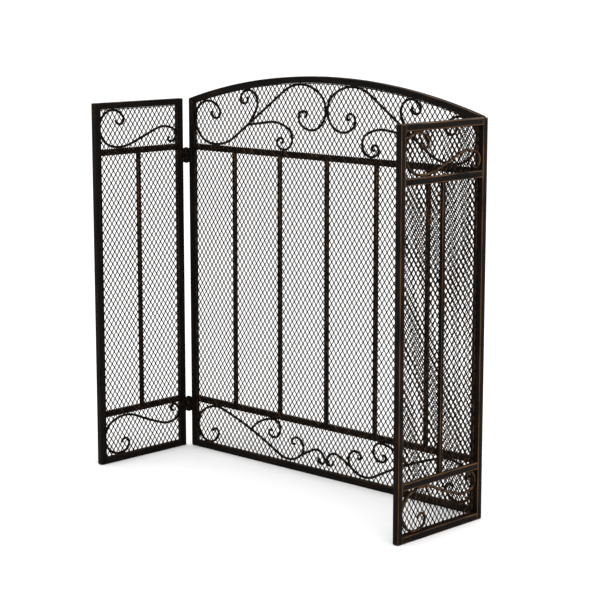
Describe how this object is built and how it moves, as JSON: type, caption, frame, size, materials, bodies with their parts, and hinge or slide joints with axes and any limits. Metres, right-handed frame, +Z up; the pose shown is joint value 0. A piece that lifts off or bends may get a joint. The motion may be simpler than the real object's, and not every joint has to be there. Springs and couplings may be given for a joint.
{
  "type": "fireplace screen",
  "caption": "Folding fireplace screen: arched centre panel with bars and scrolls, a hinged wing on each side, diamond mesh fill.",
  "frame": {"origin": "on the floor, in the middle of the space that the standing screen takes up", "axes": "+Z up; -Y towards the room, where the decorated face is; +Y towards the fire; +X along the centre panel"},
  "size_m": [0.8114, 0.2576, 0.7975],
  "materials": {
    "frame": "satin black with bronze brushed on the edges",
    "scroll_rod": "satin black with bronze brushed over the rod",
    "mesh": "satin black",
    "hinge": "satin black with bronze brushed on the barrel"
  },
  "bodies": {
    "centre": {"centre_arch_rail": "frame", "centre_bar_1": "frame", "centre_bar_2": "frame", "centre_bar_3": "frame", "centre_bar_4": "frame", "centre_bar_5": "frame", "centre_bottom_rail": "frame", "centre_left_stile": "frame", "centre_lower_crossbar": "frame", "centre_mesh": "mesh", "centre_mesh_strip": "frame", "centre_right_stile": "frame", "centre_upper_crossbar": "frame", "left_bottom_scroll": "scroll_rod", "left_bottom_scroll_middle": "scroll_rod", "left_bottom_scroll_rising": "scroll_rod", "left_lower_hinge_centre_leaf": "hinge", "left_lower_hinge_pin": "hinge", "left_top_scroll": "scroll_rod", "left_top_scroll_falling": "scroll_rod", "left_top_scroll_rising": "scroll_rod", "left_upper_hinge_centre_leaf": "hinge", "left_upper_hinge_pin": "hinge", "right_bottom_scroll": "scroll_rod", "right_bottom_scroll_middle": "scroll_rod", "right_bottom_scroll_rising": "scroll_rod", "right_lower_hinge_centre_leaf": "hinge", "right_lower_hinge_pin": "hinge", "right_top_scroll": "scroll_rod", "right_top_scroll_falling": "scroll_rod", "right_top_scroll_rising": "scroll_rod", "right_upper_hinge_centre_leaf": "hinge", "right_upper_hinge_pin": "hinge"},
    "left_wing": {"left_lower_hinge_wing_leaf": "hinge", "left_upper_hinge_wing_leaf": "hinge", "left_wing_bar": "frame", "left_wing_bottom_rail": "frame", "left_wing_bottom_scroll": "scroll_rod", "left_wing_free_stile": "frame", "left_wing_hinge_stile": "frame", "left_wing_lower_crossbar": "frame", "left_wing_mesh": "mesh", "left_wing_mesh_strip": "frame", "left_wing_top_rail": "frame", "left_wing_top_scroll": "scroll_rod", "left_wing_upper_crossbar": "frame"},
    "right_wing": {"right_lower_hinge_wing_leaf": "hinge", "right_upper_hinge_wing_leaf": "hinge", "right_wing_bar": "frame", "right_wing_bottom_rail": "frame", "right_wing_bottom_scroll": "scroll_rod", "right_wing_free_stile": "frame", "right_wing_hinge_stile": "frame", "right_wing_lower_crossbar": "frame", "right_wing_mesh": "mesh", "right_wing_mesh_strip": "frame", "right_wing_top_rail": "frame", "right_wing_top_scroll": "scroll_rod", "right_wing_upper_crossbar": "frame"}
  },
  "joints": [
    {"name": "left_wing_fold", "type": "hinge", "parent": "centre", "child": "left_wing", "pos_m": [-0.389, -0.11215, 0.3], "axis": [0, 0, -1], "range_deg": [-90, 90]},
    {"name": "right_wing_fold", "type": "hinge", "parent": "centre", "child": "right_wing", "pos_m": [0.389, -0.11215, 0.3], "axis": [0, 0, 1], "range_deg": [-90, 90]}
  ]
}
